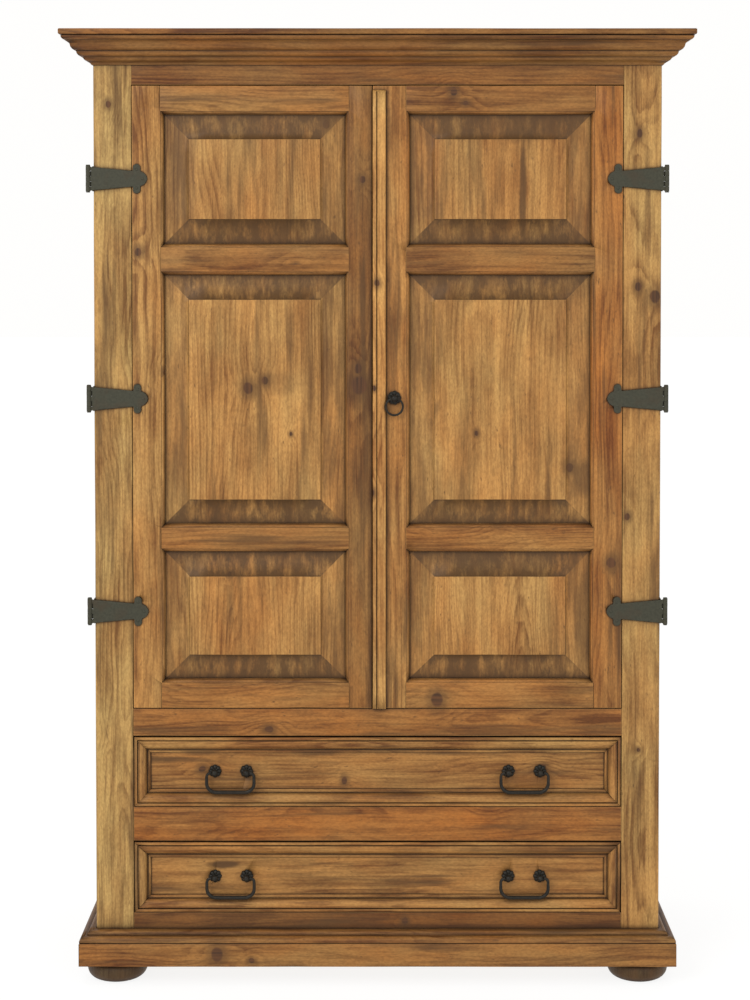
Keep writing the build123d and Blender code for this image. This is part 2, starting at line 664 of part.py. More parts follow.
def drawer(name, bay):
    low, high = bay[0] + DRAWER_CLEAR_LOW, bay[1] - DRAWER_CLEAR_HIGH
    field = FRONT + FIELD_BACK
    back = field + DRAWER_FRONT_T
    end = back + BOX_LEN
    x = (-DRAWER_HALF, DRAWER_HALF)
    front = block(x, (field, back), (low, high))
    mouldings = mitred_ring(x, (low, high), field, drawer_profile(), MOULD_W, MITRE_GAP)
    side = block((BOX_HALF - BOX_T, BOX_HALF), (back, end), (low, high - BOX_TOP_DROP))
    inner = BOX_HALF - BOX_T
    rear = block((-inner, inner), (end - BOX_T, end), (low + BOTTOM_UP + BOTTOM_T, high - BOX_TOP_DROP))
    floor_z = (low + BOTTOM_UP, low + BOTTOM_UP + BOTTOM_T)
    floor = block(
        (-inner - BOTTOM_GROOVE, inner + BOTTOM_GROOVE), (back - BOTTOM_GROOVE, end), floor_z
    )
    front -= floor
    side -= floor
    posts, bails = [], {}
    pull_z = (low + high) / 2 - PULL_DROP
    for label, pull_x in (("left", -PULL_X), ("right", PULL_X)):
        at = Pos(pull_x, field, pull_z)
        for out in (-1, 1):
            post = at * Pos(out * POST_HALF, 0, 0) * pull_post(out)
            front -= post
            posts.append(post)
        bails[label] = at * bail()
    save(f"{name}_drawer_front", front)
    save(f"{name}_drawer_moulding", *mouldings)
    save(f"{name}_drawer_box", side, mirrored(side), rear)
    save(f"{name}_drawer_bottom", floor)
    save(f"{name}_pull_posts", *posts)
    for label, shape in bails.items():
        save(f"{name}_{label}_bail", shape)


os.makedirs("parts", exist_ok=True)
face_frame()
side_frames()
back_boards()
decks()
base_and_crown()
bun_feet()
drawer_runners()
hanging_rail()
hinges()
doors()
astragal()
ring_pull()
drawer("lower", LOWER_BAY)
drawer("upper", UPPER_BAY)
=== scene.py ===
import json
import math
import random

import bmesh
import bpy
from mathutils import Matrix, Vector, noise


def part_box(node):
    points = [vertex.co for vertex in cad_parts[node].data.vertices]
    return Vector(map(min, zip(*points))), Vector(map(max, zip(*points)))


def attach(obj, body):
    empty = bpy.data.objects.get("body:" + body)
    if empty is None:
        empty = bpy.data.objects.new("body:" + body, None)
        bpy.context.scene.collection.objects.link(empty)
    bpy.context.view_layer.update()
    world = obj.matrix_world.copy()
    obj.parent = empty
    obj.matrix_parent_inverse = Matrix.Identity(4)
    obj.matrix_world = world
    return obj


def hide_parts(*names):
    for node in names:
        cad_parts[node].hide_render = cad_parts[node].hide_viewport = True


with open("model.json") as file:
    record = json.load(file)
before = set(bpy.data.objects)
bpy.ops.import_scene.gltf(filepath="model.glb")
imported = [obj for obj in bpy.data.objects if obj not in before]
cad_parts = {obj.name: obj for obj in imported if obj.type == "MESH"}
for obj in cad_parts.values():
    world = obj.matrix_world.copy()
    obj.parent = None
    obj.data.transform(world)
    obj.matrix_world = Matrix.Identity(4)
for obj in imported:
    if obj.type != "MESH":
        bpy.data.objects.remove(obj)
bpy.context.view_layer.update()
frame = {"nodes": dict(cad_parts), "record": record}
NODES = frame["nodes"]

# A pine armoire: worn, oiled boards on the CAD frame, blackened forged iron and a pale studio.
# Metres. +Z is up and the front faces -Y.

MM = 0.001

# ---- ageing of the boards ----
ARRIS = 1.5 * MM  # rounding of a broad board's edges
FINE_ARRIS = 0.45 * MM  # rounding of a moulding's edges
BUMPED = 2.6 * MM  # rounding of the boards that take the knocks
BROAD = 5 * MM  # a face wider than this is a board's face, not a moulding's
STATION = 45 * MM  # spacing of the cuts that let a board waver
WAVER = 0.35 * MM  # how far a board's faces stray from flat
ROUGH = 0.5 * MM  # the same, on a rough board
TRUE = 0.1 * MM  # the same, on a true one
DRAWER_SIDE = 14 * MM  # thickness of a drawer box's sides
TONE_SPREAD = 0.04  # how far one board's tone strays from the tone asked for
MIDDLE = Vector((0.0, 0.0, 1.0))  # inside the armoire: outer faces look away from it, lamps at it
AXES = {"x": 0, "y": 1, "z": 2}

# ---- colours, as linear light ----
HONEY_COLOUR = (0.316, 0.156, 0.042)
RAW_COLOUR = (0.50, 0.34, 0.17)
FOOT_COLOUR = (0.056, 0.035, 0.014)
GLAZE_AND_SHADE = (0.078, 0.036, 0.011)  # dark wax and stain; also the colour of the painted shade near other faces
KNOT_HEART = (0.042, 0.018, 0.008)
KNOT_RING = (0.094, 0.037, 0.013)
DULL_STEEL = (0.13, 0.125, 0.115)
BRIGHT_STEEL = (0.22, 0.215, 0.20)

# ---- what a layer does to a colour, per channel ----
LIGHT_FIGURE = (1.34, 1.38, 1.44)
DARK_FIGURE = (0.46, 0.36, 0.29)
SOAKED = (0.80, 0.86, 1.0)
SMEARED = (1.2, 1.2, 1.2)
RUBBED = (1.35, 1.4, 1.6)
# The next three colour the dark wax and painted shade near other faces: a haze, the corners and the
# quirks.
HAZE_SHADE = (1.1, 1.1, 1.1)
CORNER_WAX_AND_SHADE = (0.40, 0.38, 0.42)
CAKED_WAX_AND_SHADE = (0.25, 0.25, 0.30)

# ---- the wood's noises: per metre across the grain, per metre along it, octaves, roughness ----
BEND = (9.0, 1.7, 2.0, 0.45)
RIPPLE = (240.0, 6.0, 2.0, 0.6)
VIGOUR = (11.0, 1.4, 2.0, 0.5)
STREAK = (85.0, 2.2, 5.0, 0.68)
FIBRE = (420.0, 9.0, 3.0, 0.6)
BLOTCH = (13.0, 5.0, 4.0, 0.58)
FLUSH = (10.0, 3.5, 3.0, 0.6)
GRIT = (300.0, 120.0, 3.0, 0.65)
MINERAL = (34.0, 2.6, 3.0, 0.6)
FLECK = (170.0, 55.0, 2.0, 0.6)
SMEAR = (45.0, 7.0, 4.0, 0.62)
HALF = (0.5, 0.5, 0.5)  # the middle of a noise's colour output

# ---- rings, knots and wax ----
RINGS_PER_METRE = (90.0, 170.0)
# darkness through one ring
LATE_WOOD = ((0.0, 0.15), (0.40, 0.20), (0.78, 0.90), (0.90, 1.0), (1.0, 0.15))
FIGURE_GAIN = 1.9
KNOT_GAP = (0.12, 0.42)  # spacing of the scattered knots, across and along the grain
KNOT_LENGTHENING = 0.72  # below 1, a knot is longer along the grain
KNOT_ODDS = (0.70, 0.74)  # a cell's chance has to pass this for the cell to hold a knot
KNOT_SIZES = (2.5 * MM, 8.0 * MM)
OUT_OF_REACH = 20.0  # added to the distance where a cell holds no knot
NICKS = (0.665, 0.76)  # where the fleck noise turns into a nick
BEVEL_RISE = (0.37, 0.87)  # where a raised panel's bevel starts and ends, through the panel's thickness
QUIRK_REACH = 3.5 * MM  # how near another face has to be for the caked wax and painted shade in the quirks, for the wax and painted shade in the corners, and for the painted shade of a haze
CORNER_REACH = 13 * MM
HAZE_REACH = 45 * MM

# ---- camera and stage ----
FACE_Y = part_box("left_front_stile")[0][1]
EYE = Vector((0.0, FACE_Y - 4.3, 1.5914))
TILT = math.radians(1.7)
LENS = 72.3  # on a sensor 36 mm wide
SHIFT = (-0.0025, -0.1954)
FLOOR_SIZE = 30.0
FLOOR_GLOW = 0.86  # the floor's own light, so that it comes out white
LAMPS = (  # name, place, size, watts
    ("key", (-2.6, -4.2, 3.6), 2.4, 120.0),
    ("fill", (3.2, -4.6, 2.0), 2.6, 40.0),
)

# ---- flowers over the pulls' posts ----
PETALS = 8
FLOWER_RISE = 5.2 * MM


# ---------------------------------------------------------------- mesh work


def clean_copy(node):
    """The CAD node's surface in a new bmesh, with its flat faces whole again."""
    bm = bmesh.new()
    bm.from_mesh(NODES[node].data)
    bmesh.ops.remove_doubles(bm, verts=bm.verts, dist=0.5e-5)
    bmesh.ops.dissolve_limit(bm, angle_limit=math.radians(0.6), verts=bm.verts, edges=bm.edges)
    bm.normal_update()
    return bm


def islands(bm):
    """Each separate solid's vertices."""
    bm.verts.index_update()
    seen, found = set(), []
    for first in bm.verts:
        if first in seen:
            continue
        seen.add(first)
        group, stack = [], [first]
        while stack:
            vert = stack.pop()
            group.append(vert)
            for edge in vert.link_edges:
                other = edge.other_vert(vert)
                if other not in seen:
                    seen.add(other)
                    stack.append(other)
        found.append(group)
    return found


def box_of(verts):
    low = Vector([min(v.co[i] for v in verts) for i in range(3)])
    high = Vector([max(v.co[i] for v in verts) for i in range(3)])
    return low, high


def breadth(face):
    return 2 * face.calc_area() / max(face.calc_perimeter(), 1e-9)


def outer_edges(bm, angle=24.0, shortest=12 * MM):
    """The long convex edges, split into those of broad faces and those of mouldings."""
    broad, fine = [], []
    for edge in bm.edges:
        if len(edge.link_faces) != 2 or not edge.is_convex or edge.calc_length() < shortest:
            continue
        if edge.calc_face_angle(0.0) < math.radians(angle):
            continue
        narrow = min(breadth(face) for face in edge.link_faces)
        (broad if narrow > BROAD else fine).append(edge)
    return broad, fine


def soften(bm, broad_radius, fine_radius):
    """Rounds the arrises, and remembers which faces the rounding made."""
    broad, fine = outer_edges(bm)
    for edges, radius in ((broad, broad_radius), (fine, fine_radius)):
        edges = [edge for edge in edges if edge.is_valid]
        if edges and radius:
            made = bmesh.ops.bevel(
                bm, geom=edges, offset=radius, offset_type="OFFSET", segments=3, profile=0.5,
                affect="EDGES", clamp_overlap=True,
            )
            for face in made["faces"]:
                face.material_index = 1


def cut_stations(bm, axis, pitch):
    """Cuts every face across one axis, so that the board can waver along it."""
    low, high = box_of(bm.verts)
    count = int((high[axis] - low[axis]) / pitch)
    normal = [0.0, 0.0, 0.0]
    normal[axis] = 1.0
    for n in range(1, count):
        at = low.copy()
        at[axis] = low[axis] + (high[axis] - low[axis]) * n / count
        geom = bm.verts[:] + bm.edges[:] + bm.faces[:]
        bmesh.ops.bisect_plane(bm, geom=geom, dist=1e-6, plane_co=at, plane_no=normal)


def waver(bm, depth, grain_axis, seed):
    """Moves each point a little along its normal: long soft waves, and short dents in the arrises."""
    bm.normal_update()
    worn = set()
    for face in bm.faces:
        if face.material_index == 1:
            worn.update(face.verts)
    shift = Vector((seed * 3.1, seed * 1.7, seed * 0.9))
    for vert in bm.verts:
        at = vert.co.copy()
        at[grain_axis] *= 0.35
        move = noise.noise(at * 14 + shift) * depth
        if vert in worn:
            dent = noise.noise(vert.co * 55 + shift)
            move -= max(0.0, dent) ** 1.5 * depth * 3.4
        vert.co += vert.normal * move


def grain_axis_of(low, high, grain):
    if grain:
        return AXES[grain]
    size = high - low
    return max(range(3), key=lambda i: size[i])


def write_layer(mesh, name, kind, domain, key, values):
    mesh.attributes.new(name, kind, domain)
    mesh.attributes[name].data.foreach_set(key, values)


def write_worn(mesh):
    """Turns the mark that soften left on the rounded faces into an attribute."""
    worn = [float(face.material_index == 1) for face in mesh.polygons]
    mesh.polygons.foreach_set("material_index", [0] * len(mesh.polygons))
    write_layer(mesh, "worn", "FLOAT", "FACE", "value", worn)


def write_grain(obj, boards):
    """Stores each point's place in its own board, with z along the grain, and the board's own tone."""
    mesh = obj.data
    places, tones, rises = [], [], []
    for vert, board in zip(mesh.vertices, boards):
        wide, thin = board["across"]
        local = vert.co - board["centre"]
        pith = board["pith"]
        places += (local[wide] + pith[0], local[thin] + pith[1], vert.co[board["axis"]] + pith[2])
        tones += (*board["tone"], 1.0)
        rises.append(0.5 + local[thin] * board["out"] / board["thickness"])
    ends = [abs(face.normal[boards[face.vertices[0]]["axis"]]) for face in mesh.polygons]
    write_layer(mesh, "grain", "FLOAT_VECTOR", "POINT", "vector", places)
    write_layer(mesh, "board", "FLOAT_COLOR", "POINT", "color", tones)
    write_layer(mesh, "rise", "FLOAT", "POINT", "value", rises)
    write_layer(mesh, "end", "FLOAT", "FACE", "value", ends)
    write_worn(mesh)


def describe_board(group, grain, tone, draw):
    """One solid's grain direction, size, pith and tone. A tone is a brightness and a redness."""
    low, high = box_of(group)
    size = high - low
    axis = grain_axis_of(low, high, grain)
    thin, wide = sorted((i for i in range(3) if i != axis), key=lambda i: size[i])
    centre = (low + high) / 2
    bright, red = tone
    pith = (
        draw.uniform(-0.06, 0.06),
        draw.choice((-1, 1)) * draw.uniform(0.03, 0.09),
        draw.uniform(0, 40),
    )
    return {
        "axis": axis,
        "across": (wide, thin),
        "centre": centre,
        "thickness": size[thin],
        "out": 1 if centre[thin] > MIDDLE[thin] else -1,
        "pith": pith,
        "tone": (bright / 2, 0.5 + red / 4, draw.random()),
    }


def finish_mesh(bm, name, material, smooth_angle=38.0):
    mesh = bpy.data.meshes.new(name)
    bm.to_mesh(mesh)
    bm.free()
    obj = bpy.data.objects.new(name, mesh)
    bpy.context.scene.collection.objects.link(obj)
    mesh.materials.append(material)
    mesh.shade_smooth()
    mesh.set_sharp_from_angle(angle=math.radians(smooth_angle))
    return obj


def body_name(node):
    for body, members in frame["record"]["behaviour"]["bodies"].items():
        if node in members:
            return body
    raise ValueError(node)


def stand_in(obj, node):
    """Makes a new piece stand for a CAD node."""
    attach(obj, body_name(node))
    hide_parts(node)


def side_groups(bm, thickness):
    """The points of a box's two sides, and the points of the rest."""
    low, high = box_of(bm.verts)
    depth = thickness + 0.5 * MM
    left = [v for v in bm.verts if v.co.x < low.x + depth]
    right = [v for v in bm.verts if v.co.x > high.x - depth]
    rest = [v for v in bm.verts if low.x + depth <= v.co.x <= high.x - depth]
    return [left, rest, right]


def board_piece(
    node, material, grain=None, arris=ARRIS, fine=FINE_ARRIS, depth=WAVER, stations=STATION, cross="",
    tones=((1.0, 0.0),), along="x", sides=0.0,
):
    """One CAD node as worn timber: every solid in it is a board of its own, with its own grain.

    The tones go to the solids in their order along an axis, and start again when they run out. With
    sides, the outermost boards, of that thickness along x, are told apart from the rest.
    """
    draw = random.Random(node)
    bm = clean_copy(node)
    soften(bm, arris, fine)
    first_axis = grain_axis_of(*box_of(islands(bm)[0]), grain)
    cut_stations(bm, first_axis, stations)
    for axis in cross:
        cut_stations(bm, AXES[axis], stations)
    waver(bm, depth, first_axis, draw.uniform(1, 50))
    parts = side_groups(bm, sides) if sides else islands(bm)
    groups = sorted(parts, key=lambda group: box_of(group)[0][AXES[along]])
    boards = {}
    for n, group in enumerate(groups):
        bright, red = tones[n % len(tones)]
        bright *= 1 + draw.uniform(-TONE_SPREAD, TONE_SPREAD)
        red += draw.uniform(-TONE_SPREAD, TONE_SPREAD) * 2
        board = describe_board(group, grain, (bright, red), draw)
        for vert in group:
            boards[vert.index] = board
    obj = finish_mesh(bm, f"{node}_timber", material)
    write_grain(obj, [boards[i] for i in range(len(obj.data.vertices))])
    stand_in(obj, node)


def iron_piece(
    node, material, stations=4 * MM, depth=0.3 * MM, lumps=110.0, axes="xz", edge=0.5 * MM, swell=None,
):
    """One CAD node as forged iron: its edges are eased and its faces carry shallow hammer marks."""
    bm = clean_copy(node)
    soften(bm, edge, edge)
    for axis in axes:
        cut_stations(bm, AXES[axis], stations)
    bm.normal_update()
    for vert in bm.verts:
        hammer = noise.noise(vert.co * lumps) + 0.4 * noise.noise(vert.co * lumps * 2.3)
        move = hammer * depth
        if swell:
            move += swell(vert.co)
        vert.co += vert.normal * move
    obj = finish_mesh(bm, f"{node}_forged", material, 48.0)
    write_worn(obj.data)
    stand_in(obj, node)


def flower(name, centre, radius, node):
    """A cast flower that stands along -Y from the board: domed petals round a boss."""
    rings, around = 10, PETALS * 8
    bm = bmesh.new()
    rows = []
    for i in range(1, rings + 1):
        s = i / rings
        row = []
        for j in range(around):
            turn = 2 * math.pi * j / around
            lobe = abs(math.cos(PETALS * turn / 2))
            reach = radius * s * (0.83 + 0.17 * lobe ** 0.6)
            dome = math.sqrt(max(0.0, 1 - s ** 2.6)) * (0.55 + 0.45 * lobe ** 0.7 * min(1.0, s * 1.6))
            boss = 0.45 * math.exp(-((s / 0.30) ** 4))
            row.append(bm.verts.new((
                centre[0] + reach * math.cos(turn),
                centre[1] - FLOWER_RISE * (dome + boss),
                centre[2] + reach * math.sin(turn),
            )))
        rows.append(row)
    top = bm.verts.new((centre[0], centre[1] - FLOWER_RISE, centre[2]))
    for j in range(around):
        k = (j + 1) % around
        bm.faces.new((top, rows[0][j], rows[0][k]))
        for low, high in zip(rows, rows[1:]):
            bm.faces.new((low[j], high[j], high[k], low[k]))
    bm.faces.new(rows[-1])
    bmesh.ops.recalc_face_normals(bm, faces=bm.faces)
    obj = finish_mesh(bm, name, BLACK_IRON, 60.0)
    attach(obj, body_name(node))


# ---------------------------------------------------------------- materials


class Graph:
    """A short way to write a node material."""

    def __init__(self, name):
        self.material = bpy.data.materials.new(name)
        self.material.use_nodes = True
        self.tree = self.material.node_tree
        self.tree.nodes.clear()
        self.shader = self.add("BsdfPrincipled")
        out = self.add("OutputMaterial")
        self.tree.links.new(self.shader.outputs[0], out.inputs["Surface"])

    def add(self, kind, **settings):
        node = self.tree.nodes.new("ShaderNode" + kind)
        for key, value in settings.items():
            setattr(node, key, value)
        return node

    def feed(self, socket, value):
        if hasattr(value, "is_output"):
            self.tree.links.new(value, socket)
        else:
            socket.default_value = value

    def attribute(self, name, output="Fac"):
        return self.add("Attribute", attribute_name=name).outputs[output]

    def math(self, operation, a, b=0.0, clamp=False):
        node = self.add("Math", operation=operation, use_clamp=clamp)
        self.feed(node.inputs[0], a)
        self.feed(node.inputs[1], b)
        return node.outputs[0]

    def vector(self, operation, a, b=(0, 0, 0)):
        node = self.add("VectorMath", operation=operation)
        self.feed(node.inputs[0], a)
        self.feed(node.inputs[1], b)
        return node.outputs["Value" if operation == "LENGTH" else "Vector"]

    def split(self, vector):
        node = self.add("SeparateXYZ")
        self.feed(node.inputs[0], vector)
        return node.outputs

    def join(self, x, y, z):
        node = self.add("CombineXYZ")
        for socket, value in zip(node.inputs, (x, y, z)):
            self.feed(socket, value)
        return node.outputs[0]

    def noise(self, vector, scale=1.0, detail=3.0, rough=0.5, output="Fac"):
        node = self.add("TexNoise")
        self.feed(node.inputs["Vector"], vector)
        node.inputs["Scale"].default_value = scale
        node.inputs["Detail"].default_value = detail
        node.inputs["Roughness"].default_value = rough
        return node.outputs[output]

    def spread(self, value, low, high, to_low=0.0, to_high=1.0, smooth=False):
        node = self.add("MapRange", interpolation_type="SMOOTHSTEP" if smooth else "LINEAR", clamp=True)
        for socket, number in zip(node.inputs[:5], (value, low, high, to_low, to_high)):
            self.feed(socket, number)
        return node.outputs[0]

    def mix(self, factor, a, b):
        node = self.add("Mix", data_type="RGBA")
        self.feed(node.inputs["Factor"], factor)
        self.feed(node.inputs["A"], a)
        self.feed(node.inputs["B"], b)
        return node.outputs["Result"]

    def ramp(self, value, stops):
        node = self.add("ValToRGB")
        self.feed(node.inputs[0], value)
        ramp = node.color_ramp
        while len(ramp.elements) < len(stops):
            ramp.elements.new(0.5)
        for element, (place, grey) in zip(ramp.elements, stops):
            element.position = place
            element.color = (grey, grey, grey, 1.0)
        return node.outputs[0]

    def bump(self, height, distance, normal=None):
        node = self.add("Bump")
        node.inputs["Strength"].default_value = 1.0
        node.inputs["Distance"].default_value = distance
        self.feed(node.inputs["Height"], height)
        if normal is not None:
            self.feed(node.inputs["Normal"], normal)
        return node.outputs[0]

    def occlusion(self, distance):
        node = self.add("AmbientOcclusion", samples=6)
        node.inputs["Distance"].default_value = distance
        return node.outputs["AO"]


def shade(colour, factors=(1.0, 1.0, 1.0)):
    """A colour times one factor per channel, as an opaque colour."""
    return (*(part * factor for part, factor in zip(colour, factors)), 1)


class Timber(Graph):
    """A pine material. Its layers read the same few signals, in each board's own frame."""

    def __init__(self, name, spots):
        super().__init__(name)
        self.place = self.attribute("grain", "Vector")
        board = self.add("SeparateColor")
        self.feed(board.inputs[0], self.attribute("board", "Color"))
        self.tone, self.red, self.chance = board.outputs
        self.body_place = self.add("TexCoord").outputs["Object"]
        self.wobble = self.vector("SUBTRACT", self.noise(self.place, 34.0, 2.0, output="Color"), HALF)
        self.ripple = self.grained(RIPPLE)
        self.fibre = self.grained(FIBRE)
        self.blotch = self.grained(BLOTCH)
        self.fleck = self.grained(FLECK)
        reach = self.scattered_knots()
        for spot in spots:
            reach = self.math("MINIMUM", reach, self.chosen_knot(spot))
        self.core = self.spread(reach, 1.05, 0.70, smooth=True)
        self.halo = self.spread(reach, 2.6, 0.9, smooth=True)
        self.push = self.spread(reach, 6.5, 0.4, smooth=True)

    def grained(self, kind, output="Fac"):
        """A noise that is drawn out along the grain."""
        across, along, detail, rough = kind
        drawn_out = self.vector("MULTIPLY", self.place, (across, across, along))
        return self.noise(drawn_out, 1.0, detail, rough, output)

    def scattered_knots(self):
        """How far the nearest scattered knot is, in its own radii. It is a column through the board."""
        across, _, along = self.split(self.place)
        across = self.math("MULTIPLY", across, 1 / KNOT_GAP[0])
        along = self.math("MULTIPLY", along, 1 / KNOT_GAP[1])
        wobble = self.vector("MULTIPLY", self.wobble, (0.07, 0, 0.02))
        at = self.vector("ADD", self.join(across, 0.0, along), wobble)
        cells = self.add("TexVoronoi", voronoi_dimensions="3D", feature="F1")
        self.feed(cells.inputs["Vector"], at)
        cells.inputs["Scale"].default_value = 1.0
        cells.inputs["Randomness"].default_value = 0.85
        away = self.vector("SUBTRACT", cells.outputs["Position"], at)
        away = self.vector("MULTIPLY", away, (KNOT_GAP[0], 0.0, KNOT_GAP[1] * KNOT_LENGTHENING))
        pick = self.add("SeparateColor")
        self.feed(pick.inputs[0], cells.outputs["Color"])
        there = self.spread(pick.outputs[0], *KNOT_ODDS)
        size = self.spread(pick.outputs[1], 0.0, 1.0, *KNOT_SIZES)
        reach = self.math("DIVIDE", self.vector("LENGTH", away), size)
        missing = self.math("SUBTRACT", 1.0, there)
        return self.math("ADD", reach, self.math("MULTIPLY", missing, OUT_OF_REACH))

    def chosen_knot(self, spot):
        """How far a chosen knot (x, z, radius) is, in its own radii."""
        x, z, radius = spot
        away = self.vector("SUBTRACT", self.body_place, (x, 0.0, z))
        away = self.vector("ADD", away, self.vector("MULTIPLY", self.wobble, (0.006, 0.0, 0.008)))
        return self.vector("LENGTH", self.vector("MULTIPLY", away, (1 / radius, 0.0, 0.8 / radius)))

    def figure(self, contrast):
        """Growth rings round a bent pith, streaks, blotches and fibre, from pale, 0, to dark, 1."""
        bend = self.vector("SUBTRACT", self.grained(BEND, "Color"), HALF)
        bend = self.vector("MULTIPLY", bend, (0.10, 0.10, 0.0))
        bent = self.vector("MULTIPLY", self.vector("ADD", self.place, bend), (1.0, 1.0, 0.0))
        radius = self.math("ADD", self.vector("LENGTH", bent), self.math("MULTIPLY", self.push, 0.012))
        rings = self.math("MULTIPLY", radius, self.spread(self.chance, 0.0, 1.0, *RINGS_PER_METRE))
        rings = self.math("ADD", rings, self.math("MULTIPLY", self.ripple, 0.60))
        late = self.ramp(self.math("FRACT", rings), LATE_WOOD)
        vigour = self.spread(self.grained(VIGOUR), 0.34, 0.66, 0.25, 1.0)
        self.late = self.math("MULTIPLY", late, vigour)
        figure = self.math("MULTIPLY", self.late, 0.30)
        figure = self.math("ADD", figure, self.spread(self.grained(STREAK), 0.36, 0.66, 0.0, 0.34))
        figure = self.math("ADD", figure, self.spread(self.blotch, 0.36, 0.66, 0.0, 0.34))
        figure = self.math("ADD", figure, self.spread(self.fibre, 0.25, 0.75, 0.0, 0.20))
        gain = FIGURE_GAIN * contrast
        return self.math("ADD", self.math("MULTIPLY", figure, gain), 0.42 - 0.53 * gain, clamp=True)

    def tint(self, colour):
        """Each board's brightness and redness, with a flush that comes and goes, and a fine grit."""
        bright = self.math("MULTIPLY", self.tone, 2.0)
        red = self.math("ADD", self.red, self.spread(self.grained(FLUSH), 0.35, 0.65, -0.14, 0.14))
        green = self.math("MULTIPLY", bright, self.spread(red, 0.0, 1.0, 1.34, 0.66))
        blue = self.math("MULTIPLY", bright, self.spread(red, 0.0, 1.0, 1.64, 0.36))
        colour = self.vector("MULTIPLY", colour, self.join(bright, green, blue))
        pale = self.vector("MULTIPLY", colour, (1.14, 1.14, 1.14))
        dark = self.vector("MULTIPLY", colour, (0.82, 0.80, 0.78))
        return self.mix(self.spread(self.grained(GRIT), 0.34, 0.66), pale, dark)

    def marks(self, colour, contrast, knots, stains):
        """Mineral streaks, knots in their halos, nicks and chosen stains."""
        mineral = self.spread(self.grained(MINERAL), 0.55, 0.70, 0.0, 0.74 * contrast)
        colour = self.mix(mineral, colour, shade(GLAZE_AND_SHADE))
        colour = self.mix(self.math("MULTIPLY", self.halo, 0.58 * knots), colour, shade(GLAZE_AND_SHADE))
        knot = self.mix(self.spread(self.ripple, 0.36, 0.62), shade(KNOT_HEART), shade(KNOT_RING))
        colour = self.mix(self.math("MULTIPLY", self.core, 0.93 * knots), colour, knot)
        colour = self.mix(self.spread(self.fleck, *NICKS, 0.0, 0.65), colour, shade(GLAZE_AND_SHADE))
        for stain in stains:
            colour = self.mix(self.stain(stain), colour, shade(GLAZE_AND_SHADE))
        return colour

    def stain(self, stain):
        """How strongly a chosen stain (x, z, half width, half height, strength) covers a point."""
        x, z, wide, tall, amount = stain
        off = self.vector("SUBTRACT", self.body_place, (x, 0.0, z))
        off = self.vector("ADD", off, self.vector("MULTIPLY", self.wobble, (0.5 * wide, 0.0, 0.3 * tall)))
        off = self.vector("LENGTH", self.vector("MULTIPLY", off, (1 / wide, 0.0, 1 / tall)))
        return self.spread(off, 1.05, 0.45, 0.0, amount, smooth=True)

    def soak(self, colour, amount):
        """Bevels across the grain drink the stain, most of all along their two edges."""
        end = self.spread(self.attribute("end"), 0.05, 0.15)
        rise = self.spread(self.attribute("rise"), *BEVEL_RISE)
        from_middle = self.math("SUBTRACT", self.math("MULTIPLY", rise, 2.0), 1.0)
        rim = self.math("POWER", self.math("ABSOLUTE", from_middle), 1.7)
        patches = self.noise(self.vector("MULTIPLY", self.place, (38.0, 12.0, 16.0)), 1.0, 5.0, 0.70)
        patches = self.spread(patches, 0.38, 0.60, 0.20, 0.95)
        soak = self.math("ADD", patches, self.math("MULTIPLY", rim, 0.42), clamp=True)
        soak = self.math("MULTIPLY", self.math("MULTIPLY", soak, end), amount)
        return self.mix(soak, colour, shade(GLAZE_AND_SHADE, SOAKED))

    def smear_panels(self, colour):
        """Stain smeared over all four bevels of a raised panel, and a dark line in the step to its field:
        stain left there and painted shade.
        """
        rise = self.spread(self.attribute("rise"), *BEVEL_RISE)
        smear = self.grained(SMEAR)
        slope = self.math("MULTIPLY", self.spread(rise, 0.02, 0.10), self.spread(rise, 0.97, 0.90))
        slope = self.math("MULTIPLY", slope, self.spread(smear, 0.40, 0.62, 0.05, 0.60))
        colour = self.mix(slope, colour, shade(GLAZE_AND_SHADE, SMEARED))
        # The dark line in the step to the field is stain left there and painted shade.
        step = self.spread(self.attribute("rise"), BEVEL_RISE[1] - 0.03, BEVEL_RISE[1] + 0.01)
        step = self.math("MULTIPLY", step, self.spread(self.attribute("rise"), 0.965, 0.935))
        step = self.math("MULTIPLY", step, self.spread(smear, 0.34, 0.52, 0.25, 0.92))
        return self.mix(step, colour, shade(GLAZE_AND_SHADE))

    def wear(self, colour, base):
        """Paler wood where the arrises are rubbed."""
        rubbed = self.spread(self.blotch, 0.36, 0.58, 0.0, 0.60)
        worn = self.math("MULTIPLY", self.attribute("worn"), rubbed)
        return self.mix(worn, colour, shade(base, RUBBED))

    def wax_and_painted_shade(self, colour, wax_and_shade):
        """Painted shade from ambient occlusion, which also stands for dark wax: a haze round the corners,
        more of it inside them, and caked in the quirks.
        """
        self.corner_shade_and_wax = self.spread(self.occlusion(CORNER_REACH), 0.94, 0.52, 0.0, wax_and_shade)
        self.corner_shade_and_wax = self.math("MULTIPLY", self.corner_shade_and_wax, self.spread(self.blotch, 0.25, 0.6, 0.60, 1.0))
        painted_haze = self.spread(self.occlusion(HAZE_REACH), 0.97, 0.62, 0.0, 0.50 * wax_and_shade)
        caked_shade_and_wax = self.spread(self.occlusion(QUIRK_REACH), 0.90, 0.60, 0.0, wax_and_shade)
        caked_shade_and_wax = self.math("MULTIPLY", caked_shade_and_wax, self.spread(self.blotch, 0.34, 0.60, 0.30, 1.0))
        colour = self.mix(painted_haze, colour, shade(GLAZE_AND_SHADE, HAZE_SHADE))
        colour = self.mix(self.corner_shade_and_wax, colour, shade(GLAZE_AND_SHADE, CORNER_WAX_AND_SHADE))
        return self.mix(caked_shade_and_wax, colour, shade(GLAZE_AND_SHADE, CAKED_WAX_AND_SHADE))

